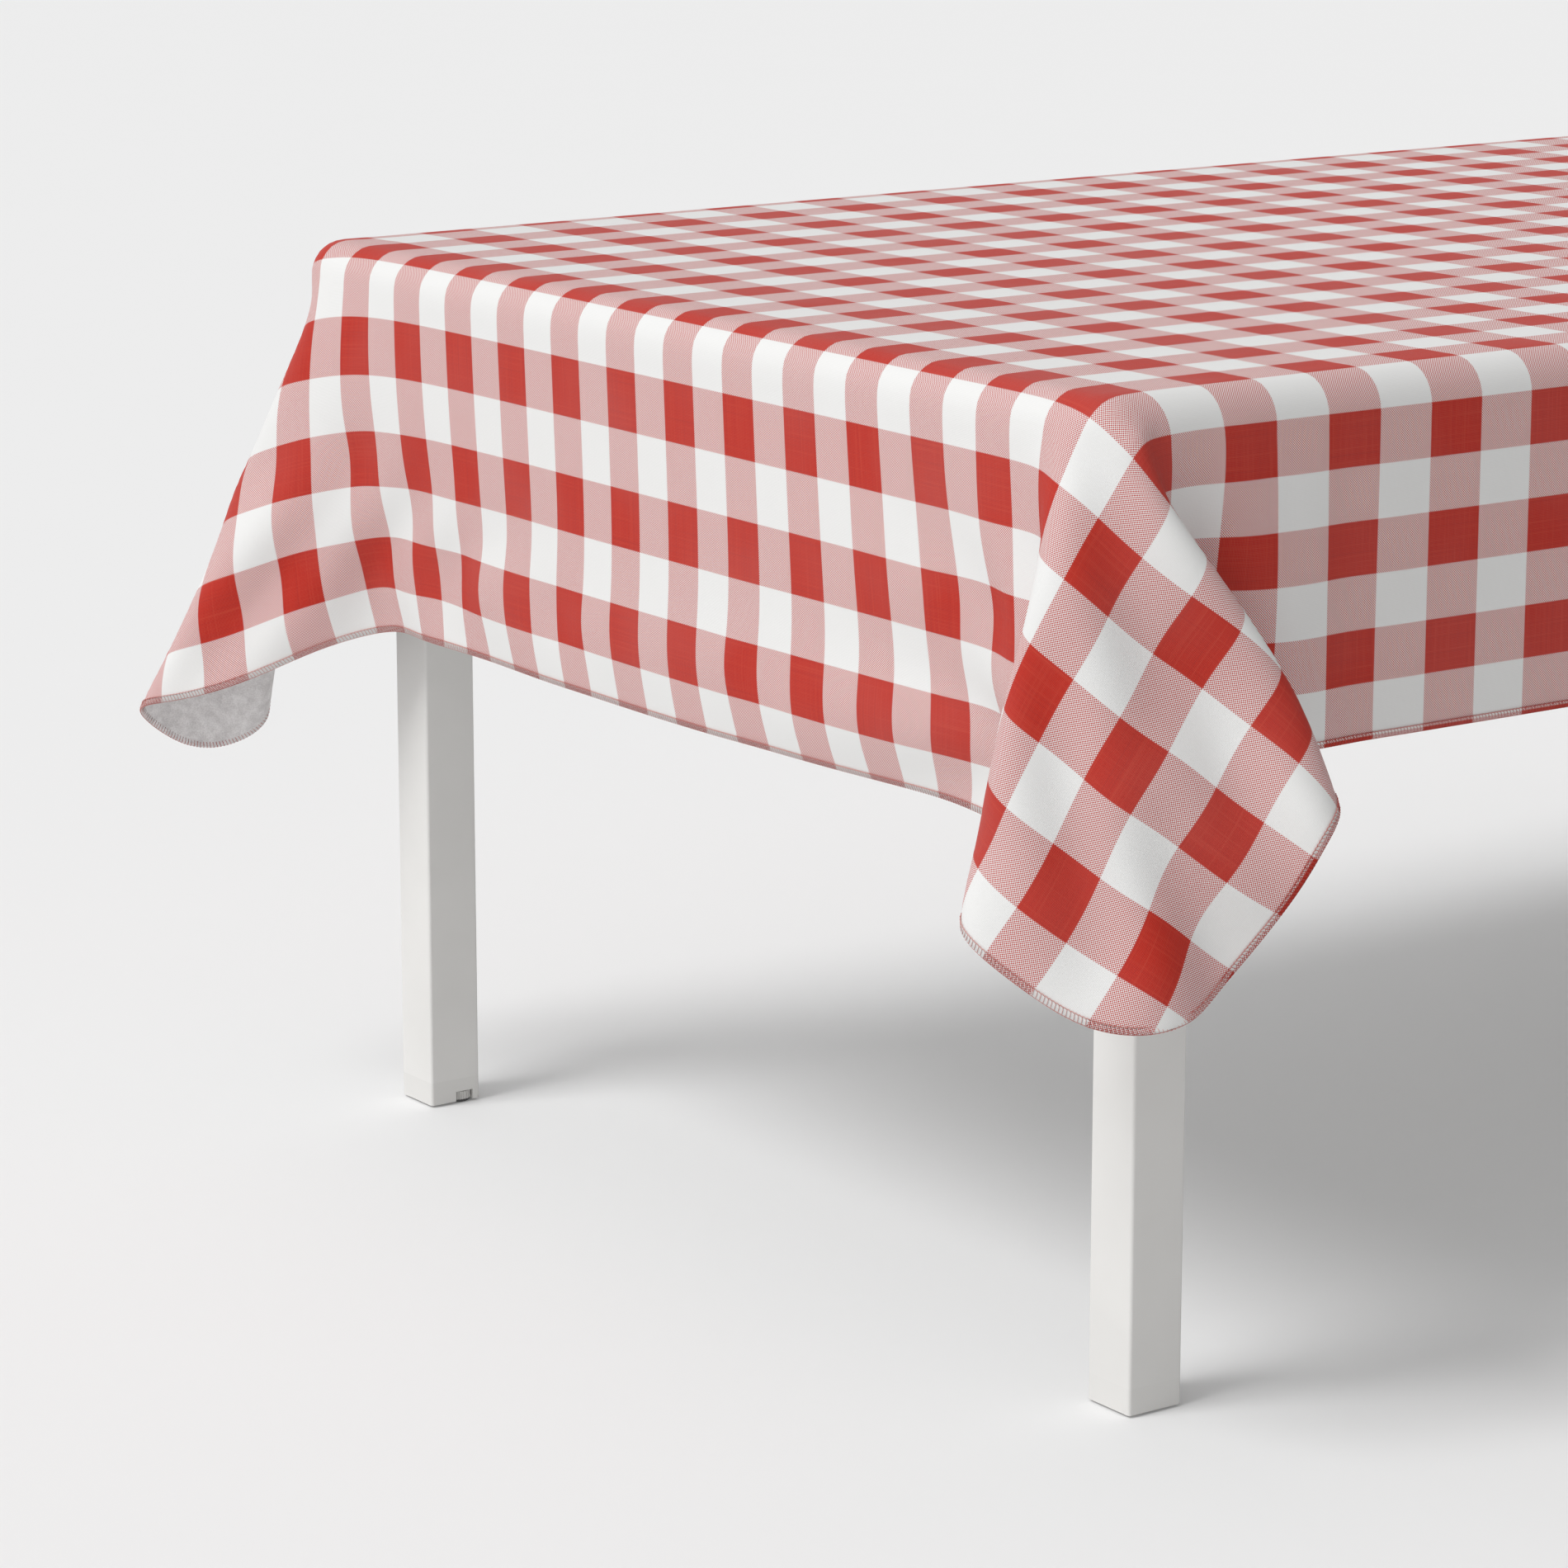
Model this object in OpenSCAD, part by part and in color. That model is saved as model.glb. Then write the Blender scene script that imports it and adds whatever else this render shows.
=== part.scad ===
// A rectangular dining table with four square steel legs, dressed with a tablecloth
// that hangs over every edge and folds into one soft flap at each corner.
// Units are millimetres. The origin is on the floor under the middle of the table;
// +X runs along the long side, +Y across the table and +Z up.

/* [Tabletop] */
// Length of the tabletop along X
top_l = 1600; // [1200:10:2000]
// Width of the tabletop along Y
top_w = 1060; // [800:10:1300]
// Height of the bare tabletop above the floor
table_h = 742.2; // [650:0.1:800]
// Thickness of the tabletop, which also sets its half-round edge
top_t = 36; // [28:1:46]
// Thickness of each laminate sheet
laminate_t = 0.8; // [0.5:0.1:1.5]

/* [Legs and frame] */
// Outside width of a square leg
leg_w = 48; // [40:1:60]
// Wall of the leg tube
leg_wall = 2; // [1.5:0.5:3]
// Radius on the leg's long edges
leg_edge_r = 2.5; // [2.1:0.1:4]
// Distance from the tabletop's end to the legs, along X
inset_end = 60; // [40:1:90]
// Distance from the tabletop's side to the legs, along Y
inset_side = 30; // [20:1:60]
// Height of the frame rails
rail_h = 50; // [40:1:70]
// Depth of the frame rails, from web to lip
rail_d = 30; // [25:1:38]
// Plate thickness of the rails and brackets
plate_t = 2.5; // [2:0.5:4]

/* [Feet] */
// Height of the plastic cap that shows under each leg tube
cap_h = 20; // [16:1:30]
// Gap between the cap and the floor
cap_gap = 2; // [1:0.5:4]
// Radius of the adjuster's hand wheel
wheel_r = 12.5; // [11:0.5:14]
// Height of the hand wheel
wheel_h = 7; // [5:0.5:10]
// Number of ribs round the hand wheel
wheel_ribs = 30; // [16:2:40]
// Radius of the adjuster's threaded stem
stem_r = 4; // [3:0.5:5]
// Length of the threaded stem above the hand wheel
stem_l = 38; // [25:1:60]
// Radius of the glide pad
pad_r = 11; // [8:0.5:14]

/* [Tablecloth] */
// Drop of the cloth over the two ends, from the top of the cloth to the hem
drop_end = 315; // [200:5:450]
// Drop of the cloth over the two long sides
drop_side = 259; // [180:5:450]
// Thickness of the printed face
face_t = 0.8; // [0.5:0.1:1.2]
// Thickness of the felt backing
felt_t = 1; // [0.5:0.1:1.5]
// How much larger the cloth's bend is than the tabletop's round edge
bend_extra = 4; // [3:0.5:6]
// Height of the stitched hem
hem_h = 2.4; // [1.5:0.1:4]
// How far each corner flap stands out from the corner
flap_out = 118; // [80:1:150]
// Half width of each corner flap
flap_half = 112; // [80:1:130]
// How far each corner flap hangs below the end hem
flap_low = 84; // [40:1:120]

/* [Hidden] */
$fn = 48;
// clearances
bolt_clear = 0.2;
stem_clear = 0.05;
pocket_clear = 0.6;
plug_clear = 0.3;
cloth_lift = 1;
cloth_side = 5;
// tabletop
edge_r = top_t / 2;
core_l = top_l - 2 * edge_r;
core_w = top_w - 2 * edge_r;
top_under = table_h - top_t;
// legs
leg_x = top_l / 2 - inset_end - leg_w / 2;
leg_y = top_w / 2 - inset_side - leg_w / 2;
plug_h = 28;
plug_w = leg_w - 2 * leg_wall - 2 * plug_clear;
bore_w = leg_w - 2 * leg_wall;
leg_low = cap_gap + cap_h;
// frame: rails run between the brackets that hug each leg's two inner faces
rail_z = top_under - rail_h;
rail_x = leg_x - leg_w / 2 - plate_t;
rail_y = leg_y - leg_w / 2 - plate_t;
lip = 12;
// fasteners
bolt_r = 3;
bolt_head_r = 5.5;
bolt_head_h = 4;
bolt_l = 9;
nut_r = 5;
nut_h = 4;
bolt_drop = [14, rail_h - 14];
screw_r = 2.2;
screw_l = 16;
screw_head_r = 4.2;
screw_head_h = 2.6;
// feet: the adjuster sits near the leg's inner corner and shows in a notch
pocket_r = wheel_r + pocket_clear;
pocket_wall = 2;
wheel_in = 0.5;
wheel_off_x = leg_w / 2 - pocket_r - pocket_wall;
wheel_off_y = leg_w / 2 - wheel_r - wheel_in;
pad_h = 2.2;
wheel_z = pad_h + 0.6;
pocket_top = wheel_z + wheel_h + 0.8;
notch_half = 8.5;
pin_r = 2.5;
pin_h = 4;
insert_r = 6.5;
insert_h = 16;
insert_z = cap_gap + cap_h - 6;
// tablecloth: a reference sheet lies where the face meets the felt
mid_off = cloth_side + felt_t;
mid_top = table_h + cloth_lift + felt_t;
mid_bend = edge_r + bend_extra + felt_t;
plan_r = mid_bend + 3;
cloth_top = mid_top + face_t;
end_hem = cloth_top - drop_end;
side_hem = cloth_top - drop_side;
flap_hem = end_hem - flap_low;
corner_run = 160;
arc_half = plan_r * PI / 4;
bend_rows = 4;
drop_rows = 3;
spline_steps = 2;
end_parts = 6;
side_parts = 9;
wave = 5;

CORNERS = [
    ["front_left", -1, -1],
    ["front_right", 1, -1],
    ["back_right", 1, 1],
    ["back_left", -1, 1]
];
PER_LEG = ["leg_tube", "corner_bracket", "foot_cap", "foot_insert", "foot_adjuster", "foot_glide"];

// ---------- tabletop ----------

// Where the tabletop screws stand: through the top flange of every rail
function screw_places() = concat(
    [for (x = [-0.75, -0.25, 0.25, 0.75], s = [-1, 1]) [x * rail_x, s * (leg_y - rail_d / 2 + 11)]],
    [for (y = [-0.5, 0.5], s = [-1, 1]) [s * (leg_x - rail_d / 2 + 11), y * rail_y]]
);

module screw_holes(z0, z1) {
    for (p = screw_places())
        translate([p[0], p[1], z0]) cylinder(r = screw_r + stem_clear, h = z1 - z0);
}

module slab(z0, z1) {
    translate([-core_l / 2, -core_w / 2, z0]) cube([core_l, core_w, z1 - z0]);
}

module tabletop_core() {
    color("burlywood") difference() {
        slab(top_under + laminate_t, table_h - laminate_t);
        screw_holes(top_under, top_under + screw_l);
    }
}

module top_laminate() {
    color("white") slab(table_h - laminate_t, table_h);
}

module underside_laminate() {
    color("gainsboro") difference() {
        slab(top_under, top_under + laminate_t);
        screw_holes(top_under - 1, top_under + laminate_t + 1);
    }
}

module half_round() {
    intersection() {
        circle(r = edge_r);
        translate([0, -edge_r]) square([edge_r, 2 * edge_r]);
    }
}

// A straight half-round band along +X of the given length, bulging towards -Y
module band(length) {
    rotate([90, 0, 90]) linear_extrude(height = length, center = true)
        mirror([1, 0]) half_round();
}

module edge_band_long(s) {
    color("white") translate([0, s * core_w / 2, top_under + edge_r])
        rotate([0, 0, s > 0 ? 180 : 0]) band(core_l);
}

// The bands on the ends also turn both corners
module edge_band_end(s) {
    color("white") translate([s * core_l / 2, 0, top_under + edge_r]) rotate([0, 0, s > 0 ? 0 : 180]) {
        rotate([0, 0, 90]) band(core_w);
        translate([0, core_w / 2, 0]) rotate_extrude(angle = 90) half_round();
        translate([0, -core_w / 2, 0]) rotate([0, 0, -90]) rotate_extrude(angle = 90) half_round();
    }
}

// ---------- frame ----------

// A C-channel along X, web towards -Y, open towards +Y, top at z = 0
module channel(length) {
    rotate([90, 0, 90]) linear_extrude(height = length, center = true) {
        translate([0, -rail_h]) square([plate_t, rail_h]);
        translate([0, -plate_t]) square([rail_d, plate_t]);
        translate([0, -rail_h]) square([rail_d, plate_t]);
        translate([rail_d - plate_t, -rail_h]) square([plate_t, lip]);
    }
}

module rail_side(s) {
    y = leg_y + leg_w / 2 - 4;
    color("whitesmoke") difference() {
        translate([0, s * y, top_under]) rotate([0, 0, s > 0 ? 180 : 0]) channel(2 * rail_x);
        screw_holes(top_under - plate_t - 1, top_under + 1);
    }
}

module rail_end(s) {
    x = leg_x + leg_w / 2 - 4;
    color("whitesmoke") difference() {
        translate([s * x, 0, top_under]) rotate([0, 0, s > 0 ? 90 : -90]) channel(2 * rail_y);
        screw_holes(top_under - plate_t - 1, top_under + 1);
    }
}

// Both bolt lines of one corner, given to the children along +X and along +Y
module bolt_lines() {
    for (d = bolt_drop) {
        translate([-leg_w / 2, 0, top_under - d]) rotate([0, 90, 0]) children();
        translate([0, -leg_w / 2, top_under - d]) rotate([-90, 0, 0]) children();
    }
}

// Everything at a leg is drawn for the corner towards +X and +Y, then mirrored
module at_leg(c) {
    mirror([c[1] < 0 ? 1 : 0, 0, 0]) mirror([0, c[2] < 0 ? 1 : 0, 0])
        translate([leg_x, leg_y, 0]) children();
}

module corner_bracket(c) {
    half = leg_w / 2;
    color("gainsboro") at_leg(c) difference() {
        union() {
            translate([-half - plate_t, -half - plate_t, rail_z]) cube([plate_t, leg_w - 2, rail_h]);
            translate([-half - plate_t, -half - plate_t, rail_z]) cube([leg_w - 2, plate_t, rail_h]);
        }
        bolt_lines() translate([0, 0, -plate_t - 1])
            cylinder(r = bolt_r + bolt_clear, h = plate_t + 2);
    }
}

// ---------- legs ----------

// A square with true round corners
module soft_square(w, r) {
    square([w, w - 2 * r], center = true);
    square([w - 2 * r, w], center = true);
    for (x = [-1, 1], y = [-1, 1])
        translate([x * (w / 2 - r), y * (w / 2 - r)]) circle(r = r);
}

module leg_tube(c) {
    color("whitesmoke") at_leg(c) difference() {
        translate([0, 0, leg_low]) linear_extrude(height = top_under - leg_low) difference() {
            soft_square(leg_w, leg_edge_r);
            square(bore_w, center = true);
        }
        bolt_lines() translate([0, 0, -1]) cylinder(r = bolt_r + bolt_clear, h = leg_wall + 2);
    }
}

// ---------- feet ----------

module at_adjuster() {
    translate([-wheel_off_x, -wheel_off_y, 0]) children();
}

module foot_cap(c) {
    color("gainsboro") at_leg(c) difference() {
        union() {
            translate([0, 0, cap_gap]) linear_extrude(height = cap_h) soft_square(leg_w, leg_edge_r);
            translate([-plug_w / 2, -plug_w / 2, leg_low]) cube([plug_w, plug_w, plug_h]);
        }
        at_adjuster() {
            translate([0, 0, -1]) cylinder(r = pocket_r, h = pocket_top + 1);
            translate([0, 0, insert_z]) cylinder(r = insert_r, h = plug_h + cap_h);
            cylinder(r = stem_r + 1, h = cap_h + plug_h + 10);
            translate([-notch_half, -wheel_r - 20, -1]) cube([2 * notch_half, 20 + 6, pocket_top + 1]);
        }
    }
}

module foot_insert(c) {
    color("goldenrod") at_leg(c) at_adjuster() difference() {
        translate([0, 0, insert_z]) cylinder(r = insert_r, h = insert_h);
        translate([0, 0, insert_z - 1]) cylinder(r = stem_r + stem_clear, h = insert_h + 2);
    }
}

module foot_adjuster(c) {
    color("silver") at_leg(c) at_adjuster() difference() {
        union() {
            translate([0, 0, wheel_z]) cylinder(r = wheel_r - 0.6, h = wheel_h);
            for (i = [0 : wheel_ribs - 1]) rotate([0, 0, i * 360 / wheel_ribs])
                translate([wheel_r - 0.7, 0, wheel_z]) cylinder(r = 0.7, h = wheel_h);
            translate([0, 0, wheel_z + wheel_h]) cylinder(r = stem_r, h = stem_l);
        }
        translate([0, 0, wheel_z - 1]) cylinder(r = pin_r + stem_clear, h = 1 + pin_h + 0.2);
    }
}

module foot_glide(c) {
    color("dimgray") at_leg(c) at_adjuster() {
        rotate_extrude() polygon([[0, 0], [pad_r - 1, 0], [pad_r, 1], [pad_r, pad_h], [0, pad_h]]);
        translate([0, 0, pad_h - 0.2]) cylinder(r = pin_r, h = wheel_z - pad_h + pin_h + 0.2);
    }
}

// ---------- fasteners ----------

module leg_bolts() {
    color("silver") for (c = CORNERS) at_leg(c) bolt_lines() {
        translate([0, 0, -plate_t]) cylinder(r = bolt_r, h = bolt_l);
        translate([0, 0, -plate_t - bolt_head_h]) cylinder(r = bolt_head_r, h = bolt_head_h, $fn = 6);
    }
}

module leg_nuts() {
    color("gray") for (c = CORNERS) at_leg(c) bolt_lines() difference() {
        translate([0, 0, leg_wall]) cylinder(r = nut_r, h = nut_h, $fn = 6);
        translate([0, 0, leg_wall - 1]) cylinder(r = bolt_r + stem_clear, h = nut_h + 2);
    }
}

module tabletop_screws() {
    color("silver") for (p = screw_places()) translate([p[0], p[1], 0]) {
        translate([0, 0, top_under - plate_t]) cylinder(r = screw_r, h = plate_t + screw_l - 2);
        translate([0, 0, top_under - plate_t - screw_head_h])
            cylinder(r = screw_head_r, h = screw_head_h);
    }
}

// ---------- tablecloth ----------
// The sheet is a ring of stations round the table. A station says where its line of
// cloth leaves the tabletop (a distance round the plan outline) and where its hem is.

// One corner, from the side before it to the side after it: distance along the outline
// from the corner's middle, hem place outwards and sideways from the corner, hem height
// as a share between the flap's hem (0) and the side's hem (1)
fold_side = [
    [-corner_run, -0.707 * corner_run, -0.707 * corner_run, 1],
    [-corner_run * 0.58, -55, -82, 0.98],
    [-arc_half, -16, -44, 0.86],
    [-arc_half * 0.66, flap_out * 0.36, -flap_half, 0.5],
    [-arc_half * 0.3, flap_out * 0.88, -flap_half * 0.72, 0.16]
];
fold = concat(
    fold_side,
    [[0, flap_out, 0, 0]],
    [for (i = [len(fold_side) - 1 : -1 : 0])
        [-fold_side[i][0], fold_side[i][1], -fold_side[i][2], fold_side[i][3]]]
);

function curve(a, b, c, d, t) =
    0.5 * ((2 * b) + (c - a) * t + (2 * a - 5 * b + 4 * c - d) * t * t
        + (3 * b - a - 3 * c + d) * t * t * t);
function fold_at(i, t) = let (n = len(fold) - 1)
    curve(fold[max(i - 1, 0)], fold[i], fold[i + 1], fold[min(i + 2, n)], t);
function fold_stations() = [
    for (i = [0 : len(fold) - 2], k = [0 : spline_steps - 1]) fold_at(i, k / spline_steps)
];

// Half sizes of the reference sheet's outline
mid_x = top_l / 2 + mid_off;
mid_y = top_w / 2 + mid_off;
// Corner points in order, with the side's direction before each and both hem heights
TURNS = [
    [[mid_x, -mid_y], [1, 0], side_hem, end_hem],
    [[mid_x, mid_y], [0, 1], end_hem, side_hem],
    [[-mid_x, mid_y], [-1, 0], side_hem, end_hem],
    [[-mid_x, -mid_y], [0, -1], end_hem, side_hem]
];

function left_of(d) = [-d[1], d[0]];
function right_of(d) = [d[1], -d[0]];

// Place on the outline and outward direction, tau along it from the corner's middle
function outline(turn, tau) =
    let (c = turn[0], d = turn[1], e = left_of(d), a = abs(tau) - arc_half,
        mid = c - plan_r * d + plan_r * e, ang = 45 + tau / arc_half * 45)
    a > 0 && tau < 0 ? [c - (plan_r + a) * d, right_of(d)] :
    a > 0 ? [c + (plan_r + a) * e, right_of(e)] :
    let (u = cos(ang) * right_of(d) + sin(ang) * d) [mid + plan_r * u, u];

// A station: outline place, outward direction, hem point
function corner_station(turn, f) =
    let (o = outline(turn, f[0]), d = turn[1], e = left_of(d),
        diag = (right_of(d) + right_of(e)) / sqrt(2), tang = (d + e) / sqrt(2),
        h = turn[0] + f[1] * diag + f[2] * tang, side = f[0] < 0 ? turn[2] : turn[3])
    [o[0], o[1], [h[0], h[1], flap_hem + f[3] * (side - flap_hem)]];

// The straight stretch after a corner, with a slow wave in the hem
function side_stations(turn, next) =
    let (d = next[1], n = abs(d[0]) > 0 ? side_parts : end_parts, run = corner_run - arc_half + plan_r,
        a = turn[0] + run * d, b = next[0] - run * d)
    [for (i = [0 : n - 1]) let (t = i / n, p = a + t * (b - a), w = wave * sin(t * 720) * sin(t * 180))
        [p, right_of(d), [p[0] + w * right_of(d)[0], p[1] + w * right_of(d)[1], next[2]]]];

STATIONS = [for (k = [0 : 3]) each concat(
    [for (f = fold_stations()) corner_station(TURNS[k], f)],
    side_stations(TURNS[k], TURNS[(k + 1) % 4])
)];
count = len(STATIONS);

function flat3(p, z) = [p[0], p[1], z];
bend_low = mid_top - mid_bend;
// Row 0 is where the bend starts on the tabletop; the last row is the hem
function row_point(s, r) =
    r <= bend_rows
    ? let (a = 90 * r / bend_rows)
        flat3(s[0] - mid_bend * (1 - sin(a)) * s[1], bend_low + mid_bend * cos(a))
    : let (t = (r - bend_rows) / drop_rows, low = s[2], top = flat3(s[0], bend_low),
        knee = top - [0, 0, (bend_low - low[2]) * 0.3])
        (1 - t) * (1 - t) * top + 2 * t * (1 - t) * knee + t * t * low;
rows = bend_rows + drop_rows;
SHEET = [for (r = [0 : rows]) [for (s = STATIONS) row_point(s, r)]];

function unit(v) = v / norm(v);
function normal_at(r, i) =
    r == 0 ? [0, 0, 1] :
    unit(cross(SHEET[r][(i + 1) % count] - SHEET[r][(i + count - 1) % count],
        SHEET[r - 1][i] - SHEET[min(r + 1, rows)][i]));
NORMALS = [for (r = [0 : rows]) [for (i = [0 : count - 1]) normal_at(r, i)]];
function layer(off) = [for (r = [0 : rows], i = [0 : count - 1]) SHEET[r][i] + off * NORMALS[r][i]];

// A closed shell between two offsets of the reference sheet; each flat top is a fan
// round one middle point
module shell(low, high) {
    m = count * (rows + 1);
    hub = 2 * m;
    quads = [for (r = [0 : rows - 1], i = [0 : count - 1])
        let (j = (i + 1) % count) [r * count + i, r * count + j, (r + 1) * count + j, (r + 1) * count + i]];
    rim = [for (i = [0 : count - 1])
        let (j = (i + 1) % count) [rows * count + i, rows * count + j, m + rows * count + j,
            m + rows * count + i]];
    polyhedron(
        points = concat(layer(high), layer(low), [[0, 0, mid_top + high], [0, 0, mid_top + low]]),
        faces = concat(
            [for (i = [0 : count - 1]) [(i + 1) % count, i, hub]],
            [for (i = [0 : count - 1]) [m + i, m + (i + 1) % count, hub + 1]],
            [for (q = quads) each [[q[0], q[1], q[2]], [q[0], q[2], q[3]]]],
            [for (q = quads) each [[m + q[2], m + q[1], m + q[0]], [m + q[3], m + q[2], m + q[0]]]],
            [for (q = rim) each [[q[0], q[1], q[2]], [q[0], q[2], q[3]]]]
        )
    );
}

module cloth_face() {
    color("crimson") shell(0, face_t);
}

module felt_backing() {
    color("lightgray") shell(-felt_t, 0);
}

// The stitched edge: a strip as thick as the cloth, straight below the hem's rim. Its top
// follows the rims of both layers, triangle for triangle
module overlock_hem() {
    c = count;
    top = [for (off = [face_t, 0, -felt_t], i = [0 : c - 1]) SHEET[rows][i] + off * NORMALS[rows][i]];
    fall = [for (i = [0 : c - 1]) hem_h * unit(SHEET[rows][i] - SHEET[rows - 1][i])];
    low = [for (k = [0, 2], i = [0 : c - 1]) top[k * c + i] + fall[i]];
    color("firebrick") polyhedron(
        points = concat(top, low),
        faces = [for (i = [0 : c - 1]) let (j = (i + 1) % c) each [
            [i, j, 3 * c + j], [i, 3 * c + j, 3 * c + i],
            [2 * c + j, 2 * c + i, 4 * c + i], [2 * c + j, 4 * c + i, 4 * c + j],
            [c + j, j, i], [c + i, c + j, i],
            [2 * c + j, c + j, c + i], [2 * c + i, 2 * c + j, c + i],
            [3 * c + i, 3 * c + j, 4 * c + j], [3 * c + i, 4 * c + j, 4 * c + i]
        ]]
    );
}

tabletop_core();
top_laminate();
underside_laminate();
edge_band_long(-1);  // edge_band_front
edge_band_long(1);  // edge_band_back
edge_band_end(-1);  // edge_band_left
edge_band_end(1);  // edge_band_right
rail_side(-1);  // rail_front
rail_side(1);  // rail_back
rail_end(-1);  // rail_left
rail_end(1);  // rail_right
for (c = CORNERS) {
    leg_tube(c);
    corner_bracket(c);
    foot_cap(c);
    foot_insert(c);
    foot_adjuster(c);
    foot_glide(c);
}
leg_bolts();
leg_nuts();
tabletop_screws();
cloth_face();
felt_backing();
overlock_hem();
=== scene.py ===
"""The looks of the dressed table: the draped gingham cloth with its felt back and
overlocked hem, painted steel legs and plastic feet, in metres, in the CAD model's frame."""
import math
import bpy
import numpy as np
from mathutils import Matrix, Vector


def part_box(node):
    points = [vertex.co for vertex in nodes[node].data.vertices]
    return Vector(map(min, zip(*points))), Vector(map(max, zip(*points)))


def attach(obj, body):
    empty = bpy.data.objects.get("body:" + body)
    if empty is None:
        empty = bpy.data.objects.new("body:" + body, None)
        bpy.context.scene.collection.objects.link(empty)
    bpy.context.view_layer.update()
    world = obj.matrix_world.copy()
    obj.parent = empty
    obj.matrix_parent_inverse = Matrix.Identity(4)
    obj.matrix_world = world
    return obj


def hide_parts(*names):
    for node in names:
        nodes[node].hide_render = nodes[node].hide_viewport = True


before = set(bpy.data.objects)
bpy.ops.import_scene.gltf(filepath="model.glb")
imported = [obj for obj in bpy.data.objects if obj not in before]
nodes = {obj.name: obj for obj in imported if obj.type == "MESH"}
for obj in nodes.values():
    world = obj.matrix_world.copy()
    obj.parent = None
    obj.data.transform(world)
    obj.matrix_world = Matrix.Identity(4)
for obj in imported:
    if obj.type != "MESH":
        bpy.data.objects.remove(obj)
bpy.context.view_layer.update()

# ---------- sizes, in metres ----------
FACE_T, FELT_T = 0.0008, 0.0010
SKIRT_GAP = 0.0065                         # from the tabletop's edge to a hanging skirt
EDGE_SLACK = 0.009                         # what the cloth's bend is wider than the edge
core_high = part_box("tabletop_core")[1]
edge_low, edge_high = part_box("edge_band_left")
TABLE_TOP = float(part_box("top_laminate")[1][2])
EDGE_R = (float(edge_high[2]) - float(edge_low[2])) / 2
TABLE_X = float(core_high[0]) + EDGE_R
TABLE_Y = float(core_high[1]) + EDGE_R
# planes that the skirts hang in, and the sheet between the printed face and the felt
HALF_X, HALF_Y = TABLE_X + SKIRT_GAP, TABLE_Y + SKIRT_GAP
TOP_Z = TABLE_TOP + 0.001 + FELT_T
BEND_R = EDGE_R + EDGE_SLACK
DROP_END, DROP_SIDE = 0.315, 0.259
LOST = BEND_R * (2 - math.pi / 2)          # what a bend saves against a square corner
END_GIVE = 0.965                           # the end skirts' pattern is a little short
FLAT_X = HALF_X - BEND_R + (DROP_END + BEND_R - LOST) / END_GIVE
FLAT_Y = HALF_Y + DROP_SIDE - LOST
CUT_R = 0.100                              # rounding of the cut cloth's corners
GRID = 0.0125                              # spacing of the draped grid

# checks, along X and along Y
CHECK_X, CHECK_Y = 0.0953, 0.0775
RED_X, RED_Y = -0.6774, -0.4132            # middle of one red band each way
THREAD = 0.0009                            # spacing of the threads in the weave
STITCH, HEM_WIDTH = 0.003, 0.0048


def check_at(i, j):
    """Middle of the red check i bands along Y and j bands along X from the first one."""
    return RED_X + j * CHECK_X, RED_Y + i * CHECK_Y


# ---------- draping ----------

# Where a few places of the flat cloth end up once it has been arranged by hand
FRONT_FLAP = [
    (check_at(-2, -2), (-0.812, -0.540, 0.626)),
    (check_at(-3, -2), (-0.754, -0.572, 0.583)),
    (check_at(-3, -3), (-0.813, -0.577, 0.503)),
    (check_at(-4, -3), (-0.760, -0.614, 0.460)),
    (check_at(-3, -4), (-0.850, -0.555, 0.414)),
    (check_at(-4, -4), (-0.808, -0.610, 0.378)),
    (check_at(-4, -2), (-0.708, -0.616, 0.534)),
    (check_at(-2, -3), (-0.850, -0.519, 0.549)),
    (check_at(-2, -4), (-0.872, -0.497, 0.463)),
    ((-0.963, -0.786), (-0.706, -0.643, 0.422)),
    ((-0.868, -0.786), (-0.668, -0.640, 0.464)),
    ((-1.122, -0.568), (-0.878, -0.480, 0.385)),
]
FRONT_SKIRT = [
    (check_at(1, -3), (-0.807, -0.367, 0.580)),
    (check_at(1, -4), (-0.804, -0.381, 0.489)),
    (check_at(0, -3), (-0.798, -0.438, 0.578)),
    (check_at(0, -4), (-0.792, -0.452, 0.486)),
    (check_at(-1, -3), (-0.815, -0.505, 0.570)),
    (check_at(-1, -4), (-0.822, -0.508, 0.476)),
]
BACK_FLAP = [
    (check_at(4, -4), (-0.803, -0.099, 0.488)),
    (check_at(7, -4), (-0.803, 0.149, 0.488)),
    (check_at(9, -4), (-0.800, 0.300, 0.489)),
    (check_at(10, -4), (-0.787, 0.364, 0.490)),
    (check_at(11, -4), (-0.787, 0.445, 0.488)),
    (check_at(11, -3), (-0.797, 0.433, 0.581)),
    (check_at(12, -3), (-0.836, 0.495, 0.562)),
    (check_at(12, -4), (-0.836, 0.492, 0.468)),
    (check_at(13, -4), (-0.884, 0.555, 0.432)),
    ((-0.868, 0.545), (-0.820, 0.542, 0.640)),
    ((-0.963, 0.575), (-0.850, 0.575, 0.530)),
    ((-1.122, 0.594), (-0.884, 0.550, 0.366)),
    ((-1.122, 0.640), (-0.908, 0.600, 0.348)),
    ((-1.094, 0.758), (-0.858, 0.640, 0.290)),
    ((-1.030, 0.786), (-0.788, 0.622, 0.322)),
    ((-0.960, 0.786), (-0.764, 0.640, 0.368)),
]


def mirrored(guides, sx, sy):
    return [((sx * u, sy * v), (sx * x, sy * y, z)) for (u, v), (x, y, z) in guides]


GUIDES = (
    FRONT_FLAP + FRONT_SKIRT + BACK_FLAP
    + mirrored(FRONT_FLAP, -1, 1) + mirrored(FRONT_FLAP, -1, -1)
)


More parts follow.
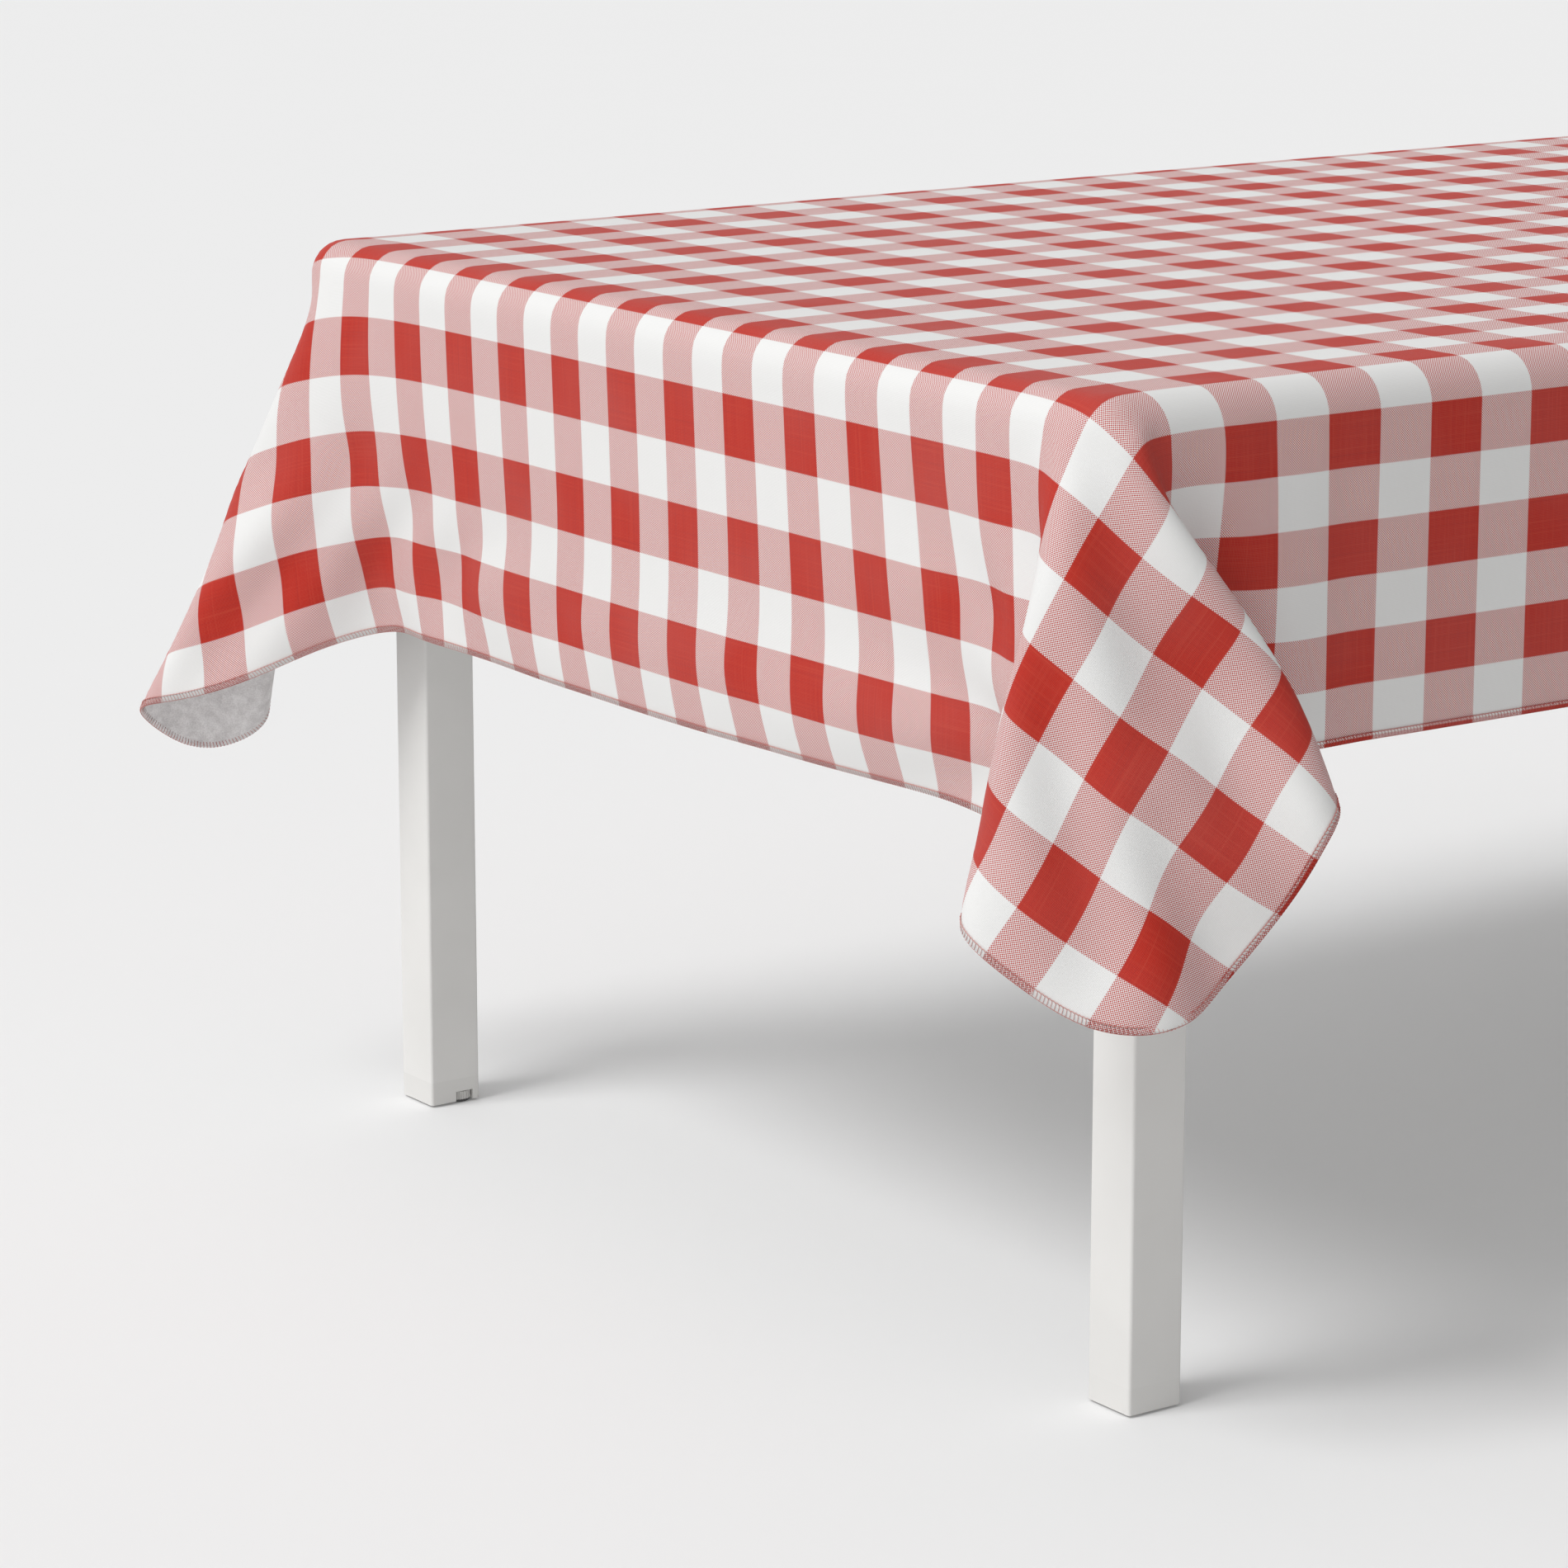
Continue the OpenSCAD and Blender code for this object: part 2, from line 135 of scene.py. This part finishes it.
def cut_plan():
    """Flat coordinates of the grid's points: a rectangle whose corners are cut round."""
    nu, nv = round(2 * FLAT_X / GRID) + 1, round(2 * FLAT_Y / GRID) + 1
    u, v = np.meshgrid(
        np.linspace(-FLAT_X, FLAT_X, nu), np.linspace(-FLAT_Y, FLAT_Y, nv), indexing="ij"
    )
    a = np.clip((abs(u) - FLAT_X + CUT_R) / CUT_R, 0, 1)
    b = np.clip((abs(v) - FLAT_Y + CUT_R) / CUT_R, 0, 1)
    u = np.sign(u) * (abs(u) - CUT_R * a * (1 - np.sqrt(1 - b * b / 2)))
    v = np.sign(v) * (abs(v) - CUT_R * b * (1 - np.sqrt(1 - a * a / 2)))
    return np.stack([u, v], -1)


def start_shape(plan):
    """Skirts hanging straight, and each corner's spare cloth in an upright loop."""
    quarter = BEND_R * math.pi / 2
    bx, by = HALF_X - BEND_R, HALF_Y - BEND_R
    au, av = abs(plan[..., 0]), abs(plan[..., 1])
    du, dv = np.maximum(au - bx, 0), np.maximum(av - by, 0)
    r = np.hypot(du, dv) + 1e-12
    round_it = r < quarter
    out = np.where(round_it, BEND_R * np.sin(r / BEND_R), BEND_R)
    down = np.where(round_it, BEND_R * (1 - np.cos(r / BEND_R)), BEND_R + r - quarter)
    corner = (du > 0) & (dv > 0)
    turn = 4 * np.arctan2(dv, du)
    across = -0.30 * np.sin(turn) * (0.75 + 0.25 * np.sin(turn / 2) ** 2)
    away = 0.17 * (1 - np.cos(turn))
    hang = np.maximum(r - quarter, 0)
    k = math.sqrt(0.5)
    w = np.clip(hang / 0.05, 0, 1) * corner
    x = np.minimum(au, bx) + out * du / r
    y = np.minimum(av, by) + out * dv / r
    x = x * (1 - w) + w * (bx + k * (BEND_R + hang * (away - across)))
    y = y * (1 - w) + w * (by + k * (BEND_R + hang * (away + across)))
    z = TOP_Z - down + 0.06 * w * hang
    return np.stack([np.sign(plan[..., 0]) * x, np.sign(plan[..., 1]) * y, z], -1)


def links(shape):
    """Pairs of slices that join grid neighbours, in groups where no point comes twice."""
    n, m = shape
    full, left, right = slice(None), slice(0, m - 1), slice(1, m)
    kinds = [
        ("thread", 0, 1, 2, full, full), ("thread", 1, 1, 2, full, full),
        ("shear", 0, 1, 2, left, right), ("shear", 0, 1, 2, right, left),
        ("bend", 0, 2, 4, full, full), ("bend", 1, 2, 4, full, full),
    ]
    out = []
    for kind, axis, reach, step, first, second in kinds:
        size = shape[axis]
        for s in range(step if kind == "bend" else 2):
            count = (size - reach - s + step - 1) // step
            a = slice(s, s + (count - 1) * step + 1, step)
            b = slice(s + reach, s + reach + (count - 1) * step + 1, step)
            if axis == 0:
                out.append((kind, (a, first), (b, second)))
            else:
                out.append((kind, (full, a), (full, b)))
    return out


def push_out(x, free):
    """Keeps the sheet outside a tall block with the tabletop's rounded edge, which gets
    slimmer and rounder downwards so that the cloth can tuck in beside a flap."""
    z = x[..., 2]
    below = np.clip(TOP_Z - BEND_R - z, 0, 0.32)
    rc = BEND_R + 0.006 + 0.12 * below
    tuck = np.minimum(0.25 * np.maximum(below - 0.02, 0), 0.04)
    qx, qy = abs(x[..., 0]) - HALF_X + tuck + rc, abs(x[..., 1]) - HALF_Y + tuck + rc
    ox, oy = np.maximum(qx, 0), np.maximum(qy, 0)
    h = np.hypot(ox, oy)
    d = np.where(h > 0, h, np.maximum(qx, qy)) - rc
    gx = np.where(h > 0, ox / (h + 1e-12), qx > qy)
    gy = np.where(h > 0, oy / (h + 1e-12), qx <= qy)
    a, b = np.maximum(d + BEND_R, 0), z - (TOP_Z - BEND_R)
    up = np.maximum(b, 0)
    rr = np.hypot(a, up)
    rim = (rr < BEND_R) & (b > 0) & (d >= -BEND_R)
    push = np.where(rim, BEND_R - rr, 0)
    onto = (d < -BEND_R) & (b < BEND_R) & (b > -0.02)
    side = np.where((b <= 0) & (d < 0), -d, push * a / (rr + 1e-12))
    lift = np.where(onto, BEND_R - b, push * up / (rr + 1e-12))
    side, lift = side * free, lift * free
    x[..., 0] += side * gx * np.sign(x[..., 0])
    x[..., 1] += side * gy * np.sign(x[..., 1])
    x[..., 2] += lift


def drape(plan, steps):
    """Lets the cloth hang: small steps of gravity, each followed by one pass over the
    threads' lengths, the weave's shear and the bending, and over the table."""
    dt, gravity, drag, ease = 1 / 500, 2.0, 0.02, 0.10
    pull, pull_in_steps = 0.5, 300
    neck_angle, neck_gap, neck_reach = 27, 0.0015, 0.10
    soft = {"thread": 0.0, "shear": 2e-5 / dt**2, "bend": 1.5e-5 / dt**2}
    x = start_shape(plan)
    au, av = abs(plan[..., 0]), abs(plan[..., 1])
    du, dv = au - HALF_X + BEND_R, av - HALF_Y + BEND_R
    free = ((du > -0.03) | (dv > -0.03)).astype(float)
    flap = np.clip(np.minimum(du, dv) / 0.06, 0, 1)
    end = np.clip(du / 0.02, 0, 1) * (1 - np.clip(dv / 0.03, 0, 1))
    give = 1 + ease * flap - (1 - END_GIVE) * end
    groups = []
    for kind, a, b in links(plan.shape[:2]):
        rest = np.linalg.norm(plan[a] - plan[b], axis=-1) * (give[a] + give[b]) / 2
        groups.append((kind, a, b, rest, free[a], free[b], free[a] + free[b] + soft[kind] + 1e-9))
    angle = np.degrees(np.arctan2(np.maximum(dv, 0), np.maximum(du, 0)))
    necked = (du > 0) & (dv > 0) & (abs(angle - 45) > neck_angle)
    side = np.sign(angle - 45) * necked
    sx, sy = np.sign(plan[..., 0]), np.sign(plan[..., 1])
    flat = plan.reshape(-1, 2)
    held = np.array([np.argmin(((flat - f) ** 2).sum(1)) for f, _ in GUIDES])
    place = np.array([p for _, p in GUIDES])
    speed = np.zeros_like(x)
    for step in range(steps):
        speed[..., 2] -= gravity * dt
        speed *= 1 - drag
        before = x.copy()
        x = x + free[..., None] * dt * speed
        for kind, a, b, rest, wa, wb, total in groups:
            d = x[a] - x[b]
            length = np.sqrt((d * d).sum(-1)) + 1e-9
            c = (length - rest) / (total * length)
            if kind == "bend":
                c = np.minimum(c, 0)
            x[a] -= (c * wa)[..., None] * d
            x[b] += (c * wb)[..., None] * d
        points = x.reshape(-1, 3)
        points[held] += pull * min(1, step / pull_in_steps) * (place - points[held])
        push_out(x, free)
        # beside the corner each half of a flap stays on its own side of the diagonal
        px, py = x[..., 0] * sx - HALF_X, x[..., 1] * sy - HALF_Y
        over = neck_gap - (py - px) * side * math.sqrt(0.5)
        fix = np.where((side != 0) & (over > 0) & (px + py < neck_reach), over, 0)
        fix = fix * side * math.sqrt(0.5)
        x[..., 1] += fix * sy
        x[..., 0] -= fix * sx
        speed = (x - before) / dt
    return smoothed(x, free, 6)


def smoothed(x, free, rounds):
    """Evens out the hanging part; the outline is evened along itself."""
    for _ in range(rounds):
        y = x.copy()
        y[1:-1, 1:-1] = 0.25 * (x[2:, 1:-1] + x[:-2, 1:-1] + x[1:-1, 2:] + x[1:-1, :-2])
        for e in (0, -1):
            y[e, 1:-1] = 0.5 * (x[e, 2:] + x[e, :-2])
            y[1:-1, e] = 0.5 * (x[2:, e] + x[:-2, e])
        for i in (0, -1):
            for j in (0, -1):
                y[i, j] = 0.5 * (x[1 if i == 0 else -2, j] + x[i, 1 if j == 0 else -2])
        low = np.clip((TOP_Z - BEND_R - x[..., 2]) / 0.02, 0, 1) * free
        x = x + 0.5 * low[..., None] * (y - x)
    return x


def refined(a, times):
    """The grid with extra points between its own, on smooth curves through them."""
    for axis in (0, 1):
        a = np.moveaxis(a, axis, 0)
        n = len(a)
        t = np.arange((n - 1) * times + 1) / times
        i = np.minimum(t.astype(int), n - 2)
        f = (t - i).reshape(-1, *([1] * (a.ndim - 1)))
        ends = np.concatenate([2 * a[:1] - a[1:2], a, 2 * a[-1:] - a[-2:-1]])
        p0, p1, p2, p3 = (ends[i + k] for k in range(4))
        a = 0.5 * (2 * p1 + (p2 - p0) * f + (2 * p0 - 5 * p1 + 4 * p2 - p3) * f**2
                   + (3 * p1 - p0 - 3 * p2 + p3) * f**3)
        a = np.moveaxis(a, 0, axis)
    return a


def unit(a):
    return a / (np.linalg.norm(a, axis=-1, keepdims=True) + 1e-12)


def normals_of(x):
    return unit(np.cross(np.gradient(x, axis=0), np.gradient(x, axis=1)))


# ---------- meshes ----------

def make_mesh(name, points, faces, flat=None):
    mesh = bpy.data.meshes.new(name)
    mesh.from_pydata(points.tolist(), [], faces.tolist())
    mesh.polygons.foreach_set("use_smooth", [True] * len(mesh.polygons))
    if flat is not None:
        layer = mesh.attributes.new("flat", "FLOAT_VECTOR", "POINT")
        layer.data.foreach_set("vector", np.c_[flat, np.zeros(len(flat))].ravel())
    mesh.update()
    piece = bpy.data.objects.new(name, mesh)
    bpy.context.scene.collection.objects.link(piece)
    return piece


def layer_piece(name, x, normal, plan, high, low):
    """A closed layer of the cloth between two offsets of the draped sheet."""
    n, m = x.shape[:2]
    k = np.arange(n * m).reshape(n, m)
    quads = np.stack([k[:-1, :-1], k[1:, :-1], k[1:, 1:], k[:-1, 1:]], -1).reshape(-1, 4)
    ring = outline(k)
    after = np.roll(ring, -1)
    rim = np.stack([after, ring, ring + n * m, after + n * m], -1)
    points = np.concatenate([(x + normal * o).reshape(-1, 3) for o in (high, low)])
    faces = np.concatenate([quads, quads[:, ::-1] + n * m, rim])
    flat = np.concatenate([plan.reshape(-1, 2)] * 2)
    return make_mesh(name, points, faces, flat)


def outline(a):
    """The grid's border as one ring, counter-clockwise seen from above."""
    return np.concatenate([a[:-1, 0], a[-1, :-1], a[:0:-1, -1], a[0, :0:-1]])


def ring_at(ring, along, s):
    """Values of a closed ring at distances s, where along holds each point's distance."""
    total = along[-1]
    loop = np.concatenate([ring, ring[:1]])
    return np.stack([np.interp(s % total, along, loop[:, c]) for c in range(loop.shape[1])], -1)


def tube(points, radius, sides):
    """Points and faces of a closed thread through these points."""
    ahead = unit(np.roll(points, -1, 0) - np.roll(points, 1, 0))
    up = unit(np.cross(ahead, np.array([0.31, 0.47, 0.83])))
    across = np.cross(ahead, up)
    turn = np.arange(sides) * 2 * math.pi / sides
    ring = up[:, None] * np.cos(turn)[:, None] + across[:, None] * np.sin(turn)[:, None]
    n = len(points)
    k = np.arange(n * sides).reshape(n, sides)
    nxt = np.roll(k, -1, 0)
    faces = np.stack([k, np.roll(k, -1, 1), np.roll(nxt, -1, 1), nxt], -1).reshape(-1, 4)
    return (points[:, None] + radius * ring).reshape(-1, 3), faces


def hem_piece(x, normal, plan):
    """The overlocked edge: zigzag loops round the rim and a chain line beside them."""
    edge, inner = outline(x), outline(shifted_in(x))
    norm, flat = outline(normal), outline(plan)
    step = np.linalg.norm(np.roll(edge, -1, 0) - edge, axis=1)
    along = np.concatenate([[0], np.cumsum(step)])
    length = along[-1]
    count = round(length / STITCH)
    pitch = length / count
    ahead = unit(np.roll(edge, -1, 0) - np.roll(edge, 1, 0))
    inward = inner - edge
    inward = unit(inward - (inward * ahead).sum(1, keepdims=True) * ahead)
    over, under = FACE_T + 0.00025, -FELT_T - 0.00025

    def path(parts):
        """A closed thread: parts are (share of a stitch, share of the width, height)."""
        s = (np.arange(count)[:, None] + np.array([p[0] for p in parts])).ravel() * pitch
        into = np.tile([p[1] * HEM_WIDTH for p in parts], count)[:, None]
        lift = np.tile([p[2] for p in parts], count)[:, None]
        return (ring_at(edge, along, s) + into * unit(ring_at(inward, along, s))
                + lift * unit(ring_at(norm, along, s)), ring_at(flat, along, s))

    loops = path([
        (0.00, 1.0, over), (0.25, 0.55, over + 0.0003), (0.45, 0.08, over),
        (0.50, -0.07, 0.0), (0.55, 0.08, under), (0.75, 0.55, under - 0.0002),
        (0.95, 1.0, under),
    ])
    chain = path([
        (0.00, 1.0, over + 0.0002), (0.30, 1.07, over + 0.0005), (0.60, 1.0, over + 0.0002),
        (0.80, 0.93, over + 0.0003),
    ])
    rim = path([(0.0, -0.05, 0.0005), (0.5, -0.08, -0.0004)])
    points, faces, flats, first = [], [], [], 0
    threads = ((loops, 0.00024, 4), (chain, 0.00032, 5), (rim, 0.00035, 4))
    for (line, where), radius, sides in threads:
        p, f = tube(line, radius, sides)
        points.append(p)
        faces.append(f + first)
        flats.append(np.repeat(where, sides, 0))
        first += len(p)
    return make_mesh("cloth_overlock", np.concatenate(points), np.concatenate(faces),
                     np.concatenate(flats))


def shifted_in(x):
    """For each border point of the grid, the place one step into the cloth."""
    y = x.copy()
    y[0], y[-1] = x[1], x[-2]
    y[:, 0], y[:, -1] = x[:, 1], x[:, -2]
    for i, j in ((0, 0), (0, -1), (-1, 0), (-1, -1)):
        y[i, j] = x[1 if i == 0 else -2, 1 if j == 0 else -2]
    return y


# ---------- shader helpers ----------

class Shader:
    """Short names for building a material's node tree."""

    def __init__(self, name, **bsdf):
        self.mat = bpy.data.materials.new(name)
        self.mat.use_nodes = True
        self.tree = self.mat.node_tree
        self.bsdf = next(n for n in self.tree.nodes if n.type == "BSDF_PRINCIPLED")
        for key, value in bsdf.items():
            self.bsdf.inputs[key.replace("_", " ")].default_value = value

    def add(self, kind, inputs=(), **props):
        node = self.tree.nodes.new("ShaderNode" + kind)
        for key, value in props.items():
            setattr(node, key, value)
        for key, value in dict(inputs).items():
            self.put(node.inputs[key], value)
        return node

    def put(self, socket, value):
        if isinstance(value, bpy.types.NodeSocket):
            self.tree.links.new(value, socket)
        else:
            socket.default_value = value

    def math(self, operation, a, b=None):
        values = {i: v for i, v in enumerate((a, b)) if v is not None}
        return self.add("Math", values, operation=operation).outputs[0]

    def ramp(self, value, low, high, to_low=0.0, to_high=1.0):
        return self.add("MapRange", {"Value": value, "From Min": low, "From Max": high,
                                     "To Min": to_low, "To Max": to_high}).outputs[0]

    def mix(self, factor, a, b):
        node = self.add("Mix", data_type="RGBA")
        for key, value in ((0, factor), (6, a), (7, b)):
            self.put(node.inputs[key], value)
        return node.outputs[2]

    def scale(self, vector, xyz):
        node = self.add("VectorMath", operation="MULTIPLY")
        self.put(node.inputs[0], vector)
        node.inputs[1].default_value = xyz
        return node.outputs[0]

    def noise(self, vector, size, detail=2.0):
        return self.add("TexNoise", {"Vector": vector, "Scale": size, "Detail": detail}).outputs[0]

    def place(self):
        return self.add("TexCoord").outputs["Object"]

    def flat(self):
        return self.add("Attribute", attribute_name="flat").outputs["Vector"]

    def bump(self, height, distance, strength):
        return self.add("Bump", {"Height": height, "Distance": distance,
                                 "Strength": strength}).outputs[0]

    def finish(self, colour, normal=None, roughness=None):
        for key, value in (("Base Color", colour), ("Normal", normal), ("Roughness", roughness)):
            if value is not None:
                self.put(self.bsdf.inputs[key], value)
        return self.mat


def rgb(r, g, b):
    return (r, g, b, 1.0)


WHITE_YARN = rgb(0.80, 0.80, 0.79)
RED_YARN = rgb(0.48, 0.018, 0.006)


def band(s, value, first, period):
    """1 in the red half of each period, 0 in the white half, with a yarn's soft edge."""
    t = s.math("DIVIDE", s.math("SUBTRACT", value, first), period)
    off = s.math("PINGPONG", t, 0.5)
    return s.ramp(off, 0.25 + 0.4 * THREAD / period, 0.25 - 0.4 * THREAD / period)


def gingham_bands(s):
    axes = s.add("SeparateXYZ", {0: s.flat()})
    x, y = axes.outputs[0], axes.outputs[1]
    return x, y, band(s, x, RED_X, CHECK_X), band(s, y, RED_Y, CHECK_Y)


def printed_cloth():
    s = Shader("gingham_cloth", Roughness=0.55, Specular_IOR_Level=0.14, Sheen_Weight=0.0,
               Coat_Weight=0.03, Coat_Roughness=0.30)
    x, y, red_x, red_y = gingham_bands(s)
    wave_x = s.math("SINE", s.math("MULTIPLY", x, math.pi / THREAD))
    wave_y = s.math("SINE", s.math("MULTIPLY", y, math.pi / THREAD))
    over = s.math("MULTIPLY", wave_x, wave_y)
    warp_up = s.ramp(over, -0.25, 0.25)
    slub_x = s.noise(s.scale(s.flat(), (1 / THREAD, 14, 1)), 0.55, 3)
    slub_y = s.noise(s.scale(s.flat(), (14, 1 / THREAD, 1)), 0.55, 3)
    warp = s.mix(red_x, WHITE_YARN, RED_YARN)
    weft = s.mix(red_y, WHITE_YARN, RED_YARN)
    colour = s.mix(warp_up, weft, warp)
    both = s.math("MULTIPLY", red_x, red_y)
    slub = s.math("MAXIMUM", slub_x, slub_y)
    pale = s.math("MULTIPLY", s.ramp(slub, 0.52, 0.78), s.math("MULTIPLY", both, 0.30))
    colour = s.mix(pale, colour, rgb(0.62, 0.09, 0.05))
    deep = s.math("MULTIPLY", s.ramp(s.math("MINIMUM", slub_x, slub_y), 0.45, 0.25),
                  s.math("MULTIPLY", both, 0.35))
    colour = s.mix(deep, colour, rgb(0.33, 0.014, 0.010))
    # painted shade: along the gaps between the threads the colour is darkened toward a dark grey,
    # as shade in the weave's hollows
    weave_gap_shade = s.ramp(s.math("ABSOLUTE", over), 0.25, 0.0, 0.0, 0.16)
    colour = s.mix(weave_gap_shade, colour, rgb(0.42, 0.36, 0.35))
    cloudy = s.noise(s.flat(), 7.0)
    colour = s.mix(s.ramp(cloudy, 0.4, 0.7, 0.0, 0.05), colour, rgb(0.62, 0.60, 0.58))
    height = s.math("ADD", s.math("ABSOLUTE", over), s.math("MULTIPLY", slub, 0.8))
    rough = s.ramp(slub, 0.3, 0.7, 0.44, 0.56)
    return s.finish(colour, s.bump(height, 0.00012, 0.7), rough)


def hem_thread():
    s = Shader("overlock_thread", Roughness=0.55, Specular_IOR_Level=0.2)
    red_x, red_y = gingham_bands(s)[2:]
    amount = s.math("MULTIPLY", s.math("ADD", red_x, red_y), 0.5)
    colour = s.mix(amount, rgb(0.66, 0.36, 0.33), rgb(0.42, 0.045, 0.03))
    fibre = s.noise(s.place(), 2500.0, 1)
    colour = s.mix(s.ramp(fibre, 0.3, 0.7, 0.0, 0.35), colour, rgb(0.50, 0.20, 0.18))
    return s.finish(colour, s.bump(fibre, 0.0001, 0.6))


def felt():
    s = Shader("felt_back", Roughness=0.95, Specular_IOR_Level=0.15, Sheen_Weight=0.35,
               Sheen_Roughness=0.6)
    fibres = s.noise(s.place(), 900.0, 4)
    clumps = s.noise(s.place(), 120.0, 5)
    mottle = s.math("ADD", s.math("MULTIPLY", fibres, 0.5), s.math("MULTIPLY", clumps, 0.5))
    colour = s.mix(s.ramp(mottle, 0.38, 0.62), rgb(0.60, 0.575, 0.575), rgb(0.82, 0.80, 0.80))
    return s.finish(colour, s.bump(mottle, 0.0008, 0.8))


def powder_coat():
    s = Shader("powder_coat", Roughness=0.4, Specular_IOR_Level=0.5, Coat_Weight=0.1,
               Coat_Roughness=0.3)
    peel = s.noise(s.place(), 1100.0, 2)
    tone = s.noise(s.place(), 9.0, 3)
    colour = s.mix(s.ramp(tone, 0.35, 0.65), rgb(0.725, 0.715, 0.695), rgb(0.76, 0.75, 0.73))
    return s.finish(colour, s.bump(peel, 0.00006, 0.5), s.ramp(tone, 0.3, 0.7, 0.36, 0.44))


def plain(name, dark, light, grain, depth, **bsdf):
    """A moulded, turned or pressed surface: fine grain in its colour, gloss and height."""
    s = Shader(name, **bsdf)
    fine = s.noise(s.place(), grain, 3)
    rough = s.bsdf.inputs["Roughness"].default_value
    return s.finish(s.mix(fine, dark, light), s.bump(fine, depth, 0.5),
                    s.ramp(fine, 0.3, 0.7, rough - 0.05, rough + 0.05))


def chipboard():
    s = Shader("chipboard", Roughness=0.85)
    chips = s.add("TexVoronoi", {"Vector": s.place(), "Scale": 350.0})
    colour = s.mix(chips.outputs["Distance"], rgb(0.55, 0.36, 0.19), rgb(0.30, 0.17, 0.08))
    return s.finish(colour, s.bump(chips.outputs["Distance"], 0.0004, 0.6))


def dress_cad():
    """Materials for the CAD nodes that stay."""
    paint = powder_coat()
    laminate = plain("laminate", rgb(0.76, 0.76, 0.75), rgb(0.80, 0.80, 0.79), 700.0, 0.00005,
                     Roughness=0.4)
    cap = plain("cap_plastic", rgb(0.70, 0.69, 0.67), rgb(0.74, 0.73, 0.71), 1500.0, 0.00008,
                Roughness=0.5)
    wheel = plain("wheel_plastic", rgb(0.58, 0.57, 0.55), rgb(0.64, 0.63, 0.61), 1500.0, 0.00008,
                  Roughness=0.45)
    glide = plain("glide_plastic", rgb(0.08, 0.08, 0.08), rgb(0.11, 0.11, 0.11), 1800.0, 0.00008,
                  Roughness=0.6)
    brass = plain("brass", rgb(0.62, 0.42, 0.15), rgb(0.70, 0.50, 0.20), 900.0, 0.00004,
                  Roughness=0.35, Metallic=1.0)
    zinc = plain("zinc", rgb(0.50, 0.51, 0.53), rgb(0.62, 0.63, 0.64), 500.0, 0.00004,
                 Roughness=0.38, Metallic=1.0)
    finishes = {
        "tabletop_core": chipboard(), "top_laminate": laminate, "underside_laminate": laminate,
        "edge_band": laminate, "rail": paint, "leg_tube": paint, "corner_bracket": paint,
        "foot_cap": cap, "foot_insert": brass, "foot_adjuster": wheel, "foot_glide": glide,
        "leg_bolts": zinc, "leg_nuts": zinc, "tabletop_screws": zinc,
    }
    for name, piece in nodes.items():
        for start, finish in finishes.items():
            if name.startswith(start):
                for spot in piece.material_slots:
                    spot.material = finish


def dress_table():
    """The cloth: printed face, felt back and stitched hem."""
    plan = cut_plan()
    x = drape(plan, 1000)
    x, plan = refined(x, 2), refined(plan, 2)
    normal = normals_of(x)
    face = layer_piece("cloth_print", x, normal, plan, FACE_T, 0.0)
    back = layer_piece("cloth_felt", x, normal, plan, 0.0, -FELT_T)
    hem = hem_piece(x, normal, plan)
    for piece, node, finish, slot in (
        (face, "cloth_face", printed_cloth(), "printed_cloth"),
        (back, "felt_backing", felt(), "felt"),
        (hem, "overlock_hem", hem_thread(), "hem_thread"),
    ):
        piece.data.materials.append(finish)
        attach(piece, "tablecloth")
        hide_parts(node)


# ---------- stage, lights, camera ----------

def make_stage():
    reach = 60.0
    corners = np.array([(-1, -1, 0), (1, -1, 0), (1, 1, 0), (-1, 1, 0)], float)
    floor = make_mesh("floor", reach * corners, np.array([(0, 1, 2, 3)]))
    s = Shader("floor", Roughness=0.9, Specular_IOR_Level=0.1)
    tone = s.noise(s.place(), 3.0)
    s.bsdf.inputs["Emission Color"].default_value = rgb(1, 1, 1)
    s.bsdf.inputs["Emission Strength"].default_value = 0.06
    grey = s.mix(tone, rgb(0.785, 0.785, 0.785), rgb(0.79, 0.79, 0.79))
    floor.data.materials.append(s.finish(grey))


def make_light():
    world = bpy.data.worlds.new("studio")
    bpy.context.scene.world = world
    world.use_nodes = True
    tree = world.node_tree
    back = next(n for n in tree.nodes if n.type == "BACKGROUND")
    where = tree.nodes.new("ShaderNodeTexCoord")
    across = tree.nodes.new("ShaderNodeVectorMath")
    across.operation = "DOT_PRODUCT"
    across.inputs[1].default_value = (-0.72, 0.62, 0.3)
    tree.links.new(where.outputs["Generated"], across.inputs[0])
    span = tree.nodes.new("ShaderNodeMapRange")
    tree.links.new(across.outputs["Value"], span.inputs["Value"])
    for key, value in (("From Min", -0.6), ("From Max", 0.4), ("To Min", 0.235), ("To Max", 0.73)):
        span.inputs[key].default_value = value
    tree.links.new(span.outputs[0], back.inputs["Strength"])
    back.inputs["Color"].default_value = (1, 1, 1, 1)
    sun = bpy.data.objects.new("key", bpy.data.lights.new("key", "SUN"))
    sun.data.energy = 1.7
    sun.data.angle = math.radians(28)
    bpy.context.scene.collection.objects.link(sun)
    sun.rotation_euler = Vector((0.62, -0.04, -0.78)).to_track_quat("-Z", "Y").to_euler()


def make_camera():
    eye = Vector((-3.015, -3.295, 1.302))
    look = Vector((0.5617, 0.7958, -0.2263))
    camera = bpy.data.objects.new("camera", bpy.data.cameras.new("camera"))
    camera.data.sensor_width = 36.0
    camera.data.lens = 121.8
    camera.location = eye
    camera.rotation_euler = look.to_track_quat("-Z", "Y").to_euler()
    bpy.context.scene.collection.objects.link(camera)
    bpy.context.scene.camera = camera
    bpy.context.scene.view_settings.view_transform = "Standard"


make_camera()
make_light()
make_stage()
dress_cad()
dress_table()
